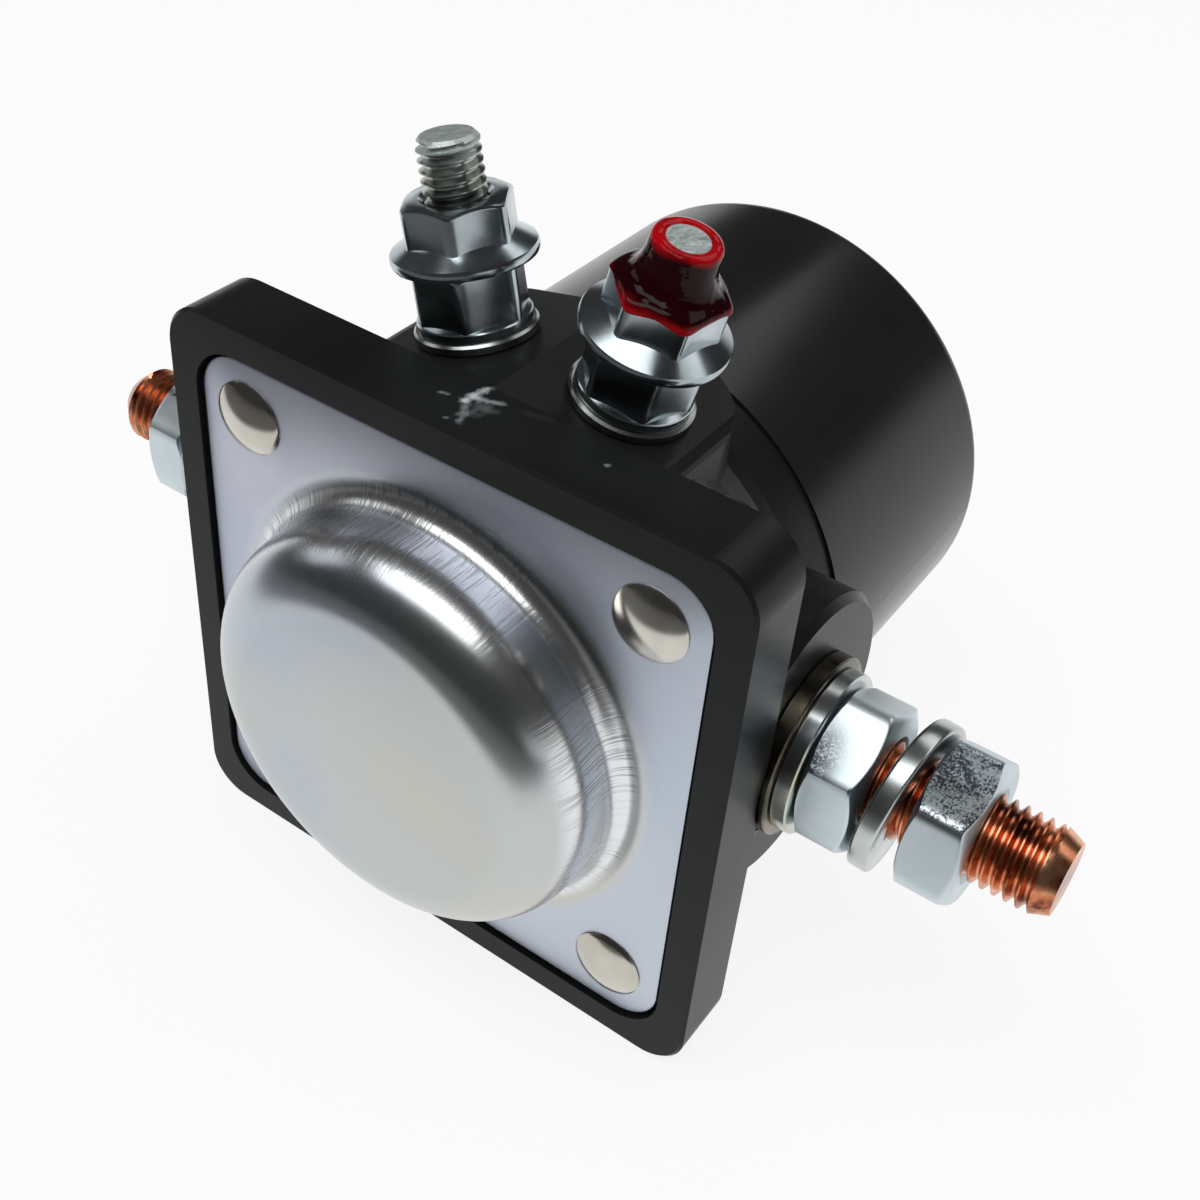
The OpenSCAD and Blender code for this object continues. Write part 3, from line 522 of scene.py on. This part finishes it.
def nut(across, height, hole, turn, foot=(), cone=None):
    """A hex nut with bevelled faces and an eased hole. foot is the outline of a flange or collar below,
    and the flats grow out of a cone that rises from the foot's edge to the point cone."""
    outline = hexagon(across / 2, turn)
    face, ease, step = across * 0.475, 0.12, 0.15
    slope = math.tan(math.radians(30))
    wide, deep = hole + 0.45, 0.5

    def top(sink, inset=0.0):
        return lambda a: (outline(a) - inset, height - sink - (outline(a) - face) * slope)

    if foot:
        (r0, z0), (r1, z1) = foot[-1], cone

        def low(rise):
            return lambda a: (outline(a), z0 + (r0 - outline(a)) * (z1 - z0) / (r0 - r1) + rise)

        below = [*foot, low(0.0), low(step)]
    else:
        below = [(face, 0.0), lambda a: (outline(a), (outline(a) - face) * slope),
                 lambda a: (outline(a), (outline(a) - face) * slope + step)]
    above = [top(ease + step), top(ease), top(-ease * 0.35, ease * 0.6), (face, height)]
    rings = [(hole, deep), (wide, 0.0), *below, *above, (wide, height), (hole, height - deep)]
    return loft(rings, 120, close=True)


def screw(bm, radius, pitch, start, end, cone, drop):
    """A right-hand thread from start to end, whose last stretch is a cone that falls by drop."""
    root, steps = radius - 0.6 * pitch, 40
    turns = math.ceil((end - start) / pitch) + 2
    # One turn of the thread in section: radius, and height as a share of the pitch
    line = [(root, 0.0), (root, 0.2), (radius, 0.53), (radius, 0.67), (root, 1.0)]
    verts = [bm.verts.new((r, 0.0, start - pitch + z * pitch)) for r, z in line]
    edges = [bm.edges.new(pair) for pair in zip(verts, verts[1:])]
    bmesh.ops.spin(
        bm, geom=verts + edges, cent=(0, 0, 0), axis=(0, 0, 1), dvec=(0, 0, pitch / steps),
        angle=math.tau * turns, steps=steps * turns, use_merge=False, use_duplicate=False,
    )
    bmesh.ops.remove_doubles(bm, verts=bm.verts[:], dist=MERGE)
    for at, way in ((start, -1), (end, 1), (end - cone, 0)):
        bmesh.ops.bisect_plane(
            bm, geom=bm.verts[:] + bm.edges[:] + bm.faces[:], dist=0.00001, plane_co=(0, 0, at),
            plane_no=(0, 0, way or 1), clear_outer=bool(way),
        )
    for v in bm.verts:
        past = (v.co.z - end + cone) / cone
        if past > 0.01:
            k = (radius - drop * past) / math.hypot(v.co.x, v.co.y)
            v.co.x, v.co.y = v.co.x * k, v.co.y * k
    cap(bm)


def rod(bm, radius, start, end):
    """A plain cylinder along the axis."""
    bmesh.ops.create_cone(
        bm, cap_ends=True, segments=64, radius1=radius, radius2=radius, depth=end - start,
        matrix=Matrix.Translation((0, 0, (start + end) / 2)),
    )


def big_stud(word, side, tip, drop):
    """A copper stud: the contact head inside, the shank and the thread outside."""
    head_from, head_long, head_wide, head_t = 10.0, 14.0, 10.0, 5.5
    thread_from, taper = 31.0, 1.7
    bm = bmesh.new()
    screw(bm, STUD_R, STUD_PITCH, thread_from, tip, taper, drop)
    # The shank runs a little way into the head and into the thread
    rod(bm, STUD_R - 0.05, head_from + head_t - 0.5, thread_from + 0.2)
    block = Matrix.Diagonal((head_long, head_wide, head_t, 1))
    block = Matrix.Translation((0, 0, head_from + head_t / 2)) @ block
    head = bmesh.ops.create_cube(bm, size=1.0, matrix=block)
    bmesh.ops.bevel(
        bm, geom=list({e for v in head["verts"] for e in v.link_edges}), offset=0.3, segments=2,
        profile=0.5, affect="EDGES", material=-1,
    )
    add(f"{word}_stud_threaded", bm, on_stud(side), f"{word}_stud")


def spring_washer(word, side, middle, rise, lean):
    """A rounded strip wound once round the stud, from a split at the back to rise higher. Its middle is
    at the height middle, and a slack one leans, in degrees."""
    steps, gap = 96, 4.0
    inner, outer, thick, soft = 4.3, 7.4, 1.9, 0.32
    corners = ((outer - soft, soft, -90), (outer - soft, thick - soft, 0),
               (inner + soft, thick - soft, 90), (inner + soft, soft, 180))
    bm = bmesh.new()
    verts = [bm.verts.new((r, 0.0, z + (rise - thick) / 2))
             for x, y, at in corners for r, z in arc(x, y, soft, at, at + 90, 4)]
    strip = bm.faces.new(verts)
    bmesh.ops.rotate(bm, cent=(0, 0, 0), matrix=Matrix.Rotation(math.radians(gap), 3, "Z"), verts=verts)
    bmesh.ops.spin(
        bm, geom=verts + strip.edges[:], cent=(0, 0, 0), axis=(0, 0, 1), dvec=(0, 0, -rise / steps),
        angle=math.radians(360 - 2 * gap), steps=steps, use_merge=False, use_duplicate=False,
    )
    cap(bm)
    # Ways round the stud: where a slack washer leans to, and where its split is
    leaning, split = math.radians(137), math.radians(100)
    seat = Matrix.Translation((0, 0, middle)) @ Matrix.Rotation(leaning, 4, "Z")
    seat = seat @ Matrix.Rotation(-math.radians(lean), 4, "Y") @ Matrix.Rotation(split - leaning, 4, "Z")
    seat = Matrix.Diagonal((1, side, 1, 1)) @ seat
    add(f"{word}_spring_washer", bm, on_stud(side) @ seat, f"{word}_lock_washer")


def big_terminal(side, word, tip, drop, outer_nut, turn, rise, lean, shift):
    """A big stud with its nuts and spring washer: tip and outer_nut are places along the stud, turn is the
    outer nut's, and the washer is shifted from the middle between the nuts."""
    big_stud(word, side, tip, drop)
    spring_washer(word, side, (INNER_NUT + BIG_NUT_H + outer_nut) / 2 - shift, rise, lean)
    for place, at, angle in (("inner", INNER_NUT, 0.0), ("outer", outer_nut, turn)):
        bm = moved(nut(BIG_FLATS, BIG_NUT_H, BIG_HOLE, side * angle), at)
        add(f"{word}_nut_{place}_eased", bm, on_stud(side), f"{word}_nut_{place}")


# The starter side's nut is slack, and its spring washer hangs between the nuts
big_terminal(1, "starter", tip=54.2, drop=0.7, outer_nut=41.7, turn=OUTER_TURN, rise=2.0, lean=3.5, shift=0.3)
big_terminal(-1, "battery", tip=52.5, drop=1.4, outer_nut=39.9, turn=3.0, rise=0.5, lean=0.0, shift=0.0)


# The outlines of the lower nuts' collar and of the upper nuts' flange, from below, and the point that
# the cone above each rises to
COLLAR = ((5.0, 0.0), (5.1, 0.12), (5.1, 0.78), (5.02, 0.9))
COLLAR_CONE = (4.4, 1.15)
FLANGE = ((6.1, 0.0), (6.35, 0.1), (6.45, 0.35), (6.45, 0.75), (6.35, 1.0), (6.1, 1.15))
FLANGE_CONE = (4.5, 2.1)


def small_nuts(side, word, low_turn, top_turn):
    """The lower nut with its round collar and the upper one with its flange."""
    low = nut(SMALL_FLATS, LOWER_NUT_H, SMALL_HOLE, low_turn, COLLAR, COLLAR_CONE)
    add(f"{word}_nut_lower_eased", moved(low, LOWER_NUT), on_deck(side), f"{word}_nut_lower")
    top = nut(SMALL_FLATS, UPPER_NUT_H, SMALL_HOLE, top_turn, FLANGE, FLANGE_CONE)
    add(f"{word}_nut_upper_eased", moved(top, UPPER_NUT), on_deck(side), f"{word}_nut_upper")


small_nuts(-1, "start", 0.0, 0.0)
small_nuts(1, "ignition", LOWER_TURN, UPPER_TURN)


def start_stud():
    """A small stud: the thread above the deck, the shank through it and the head below."""
    thread_from, tip, chamfer = 0.5, 17.6, 0.45
    head_r, head_from, head_to, shank_from = 4.2, -15.3, -13.0, -14.0
    bm = bmesh.new()
    screw(bm, SMALL_R, SMALL_PITCH, thread_from, tip, chamfer, chamfer)
    rod(bm, SMALL_R - 0.05, shank_from, thread_from + 0.2)
    rod(bm, head_r, head_from, head_to)
    add("start_stud_threaded", bm, on_deck(-1), "start_stud")


start_stud()


def lacquer():
    """Lacquer over the ignition nut's top and up its stud: a skin with an uneven lower edge."""
    flat = SMALL_FLATS / 2
    outline = hexagon(flat, UPPER_TURN, 0.16)
    top, tip = UPPER_TOP, LACQUER_TIP

    def uneven(angle):
        return 0.3 * math.sin(2 * angle + 0.6) + 0.2 * math.sin(5 * angle + 2.0) + 0.12 * math.sin(9 * angle)

    def skirt(out, height, sway=0.0):
        return lambda a: (outline(a) + out, height - (outline(a) - flat) * 0.45 + sway * uneven(a))

    def neck(out, height):
        return lambda a: (out + 0.08 * uneven(a), height)

    over_the_nut = [
        skirt(-0.3, top - 0.7, 0.5), skirt(0.05, top - 0.8, 0.5), skirt(0.14, top - 0.7, 0.5),
        skirt(0.16, top - 0.55, 0.4), skirt(0.12, top - 0.34, 0.2), skirt(0.0, top - 0.14),
        skirt(-0.16, top + 0.03), skirt(-0.36, top + 0.13),
    ]
    up_the_stud = [
        neck(3.95, top + 0.24), neck(3.6, top + 0.5), neck(3.32, top + 1.1), (3.12, top + 1.8),
        (3.02, top + 2.6), (2.97, tip - 0.7),
    ]
    rim = [
        (2.93, tip - 0.25), (2.78, tip + 0.02), (2.5, tip + 0.13), (2.15, tip + 0.12), (1.86, tip + 0.04),
        (1.75, tip - 0.1),
    ]
    hidden = [(1.9, top + 0.5), (3.5, top - 0.4)]
    skin = loft([*over_the_nut, *up_the_stud, *rim, *hidden], 120, close=True)
    add("lacquer_brushed_on", skin, on_deck(1), "sealing_lacquer", 60.0)


lacquer()


def cover():
    """The drawn cover: crown, shoulder, wall and foot run out into the flat plate, one sheet thick."""
    side, corner_r, top, bulge = 53.0, 4.5, -9.6, 0.3
    shoulder, foot = (CROWN_R, -3.7), (FOOT_R, -1.7)

    def square(inset, height):
        half, corner = side / 2 - inset, corner_r - inset

        def ring(angle):
            c, s = abs(math.cos(angle)), abs(math.sin(angle))
            middle = half - corner
            r = half / max(c, s)
            if min(c, s) * r > middle:
                along = middle * (c + s)
                r = along + math.sqrt(along * along - 2 * middle * middle + corner * corner)
            return r, height

        return ring

    crown = [(max(CROWN_R * i / 8, POLE), top + bulge * (i / 8) ** 2) for i in range(9)]
    outside = crown + arc(*shoulder, SHOULDER_R, -90, 0, 16)[1:] + arc(*foot, FOOT_BEND, 180, 90, 10)
    inside = [(r, h + COVER_T) for r, h in crown] + arc(*shoulder, SHOULDER_R - COVER_T, -90, 0, 12)[1:]
    inside += arc(*foot, FOOT_BEND + COVER_T, 180, 90, 8)
    rim = [square(0.3, 0.4), square(0.08, 0.48), square(0.0, 0.7), square(0.0, 1.6)]
    add("cover_drawn", loft(outside + rim + inside[::-1], 288), ON_AXIS, "cover_plate", 50.0)


cover()


def rivets():
    """Four rivets: a low dome in front, a shank, and the rolled end behind the flange."""
    dome, rise = 6.8, 0.8
    head = [(max(dome * math.sin(math.radians(a)), POLE), dome * (1 - math.cos(math.radians(a))) - rise)
            for a in range(0, 32, 2)]
    edge = [(3.55, 0.25), (3.5, 0.36)]
    shank = [(2.0, 0.4), (2.0, 7.4)]
    rolled = [(3.0, 7.4), (3.15, 7.6), (3.1, 7.9), (2.7, 8.3), (1.7, 8.3), (1.3, 7.9)]
    hollow = [(1.2, 5.4), (POLE, 5.4)]
    whole = bmesh.new()
    for x in (-RIVET_AT, RIVET_AT):
        for z in (-RIVET_AT, RIVET_AT):
            one = loft([*head, *edge, *shank, *rolled, *hollow], 72)
            bmesh.ops.translate(one, vec=(x, z, 0), verts=one.verts[:])
            mesh = bpy.data.meshes.new("one_rivet")
            one.to_mesh(mesh)
            one.free()
            whole.from_mesh(mesh)
            bpy.data.meshes.remove(mesh)
    add("rivets_domed", whole, ON_AXIS, "cover_rivets", 50.0)


rivets()


def coil(name, seat, length, mean, wire, turns):
    """A compression spring with closed end turns, from seat on."""
    bm, steps = bmesh.new(), 40
    section = Matrix.Translation((mean, 0, wire)) @ Matrix.Rotation(math.pi / 2, 4, "X")
    bmesh.ops.create_circle(bm, segments=12, radius=wire, matrix=section)
    turn = bm.verts[:] + bm.edges[:]
    closed = 2.1 * wire
    opened = (length - 2 * wire - 2 * closed) / (turns - 2)
    for rounds, pitch in ((1, closed), (turns - 2, opened), (1, closed)):
        turn = bmesh.ops.spin(
            bm, geom=turn, cent=(0, 0, 0), axis=(0, 0, -1), dvec=(0, 0, pitch / steps),
            angle=math.tau * rounds, steps=steps * rounds, use_merge=False, use_duplicate=False,
        )["geom_last"]
    cap(bm)
    spring = add(f"{name}_wound", moved(bm, seat), ON_AXIS, name)
    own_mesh(spring)


coil("return_spring", seat=9.5, length=11.25, mean=4.3, wire=0.45, turns=6)
coil("contact_spring", seat=-2.95, length=6.75, mean=3.0, wire=0.35, turns=5)


# Floor, light and camera

# The way to the room's dark side, and the way in which the floor's reflection ends
DARK_SIDE, FLOOR_END = (-0.38, -0.92, 0.0), (-0.15, -0.99, 0.0)


def ground():
    """A pale floor that keeps the shadow. In a reflection it ends in front, where the room is dark."""
    f = Finish("ground")
    seen = f.seen_directly()
    reach = f.put("VectorMath", {"operation": "DOT_PRODUCT"}, (f.point(), FLOOR_END), "Value")
    camera_ray = f.put("LightPath", {}, {}, "Is Camera Ray")
    bright = 1 - reach.step(0.092, 0.118) * 0.95 * (1 - camera_ray)
    lit = f.put("BsdfDiffuse", {}, {"Color": rgb(250, 250, 250)})
    glow = f.put("Emission", {}, {"Color": (1.0, 1.0, 1.0, 1.0), "Strength": bright})
    f.close(f.put("MixShader", {}, (seen * 0.86, lit, glow)), "Material")
    bm = bmesh.new()
    bmesh.ops.create_grid(bm, x_segments=1, y_segments=1, size=3.0)
    mesh = bpy.data.meshes.new("ground")
    bm.to_mesh(mesh)
    bm.free()
    mesh.materials.append(f.data)
    floor = bpy.data.objects.new("ground", mesh)
    bpy.context.scene.collection.objects.link(floor)


ground()


def surroundings():
    """White to the camera. In a reflection, a low white horizon behind and to the right of a dark room."""
    world = bpy.data.worlds.new("studio")
    bpy.context.scene.world = world
    f = Finish("studio", world)
    camera_ray = f.put("LightPath", {}, {}, "Is Camera Ray")
    seen = f.seen_directly()
    way = f.put("TexCoord", {}, {}, "Generated")
    high = way.part("Z").step(0.03, 0.24)
    front = f.put("VectorMath", {"operation": "DOT_PRODUCT"}, (way, DARK_SIDE), "Value").step(0.1, 0.4)
    room = 0.9 - (high + front - high * front) * 0.86
    strength = camera_ray + (1 - camera_ray) * (seen * room + (1 - seen) * 0.5)
    f.close(f.put("Background", {}, {"Color": (1.0, 1.0, 1.0, 1.0), "Strength": strength}), "World")


surroundings()


def softbox(name, place, target, width, height, brightness):
    """A rectangular lamp whose face looks as bright as brightness times white."""
    lamp = bpy.data.lights.new(name, "AREA")
    lamp.shape, lamp.size, lamp.size_y = "RECTANGLE", width, height
    lamp.energy = brightness * math.pi * width * height
    stand = bpy.data.objects.new(name, lamp)
    stand.location = place
    stand.rotation_euler = (Vector(target) - Vector(place)).to_track_quat("-Z", "Y").to_euler()
    bpy.context.scene.collection.objects.link(stand)


softbox("top_light", (-0.03, -0.155, 0.42), (-0.03, -0.1, 0.0), 0.42, 0.2, 2.7)
softbox("back_light", (0.14, 0.28, 0.42), (0.05, 0.1, 0.0), 0.52, 0.2, 1.3)
softbox("side_light", (-0.5, -0.15, 0.3), (0.0, -0.01, 0.035), 0.2, 0.2, 1.0)


def camera():
    """The photograph's place and lens: from the right and above, and rolled by some four degrees."""
    eye = bpy.data.cameras.new("eye")
    eye.lens, eye.sensor_width, eye.sensor_fit = 48.05, 36.0, "HORIZONTAL"
    eye.shift_x, eye.shift_y = 0.0015, -0.0398
    eye.clip_start = 0.01
    stand = bpy.data.objects.new("eye", eye)
    stand.location = (0.06441, -0.10598, 0.13135)
    stand.rotation_euler = [math.radians(angle) for angle in (51.0997, -4.2644, 34.9509)]
    bpy.context.scene.collection.objects.link(stand)
    bpy.context.scene.camera = stand


camera()
bpy.context.scene.view_settings.view_transform = "Standard"
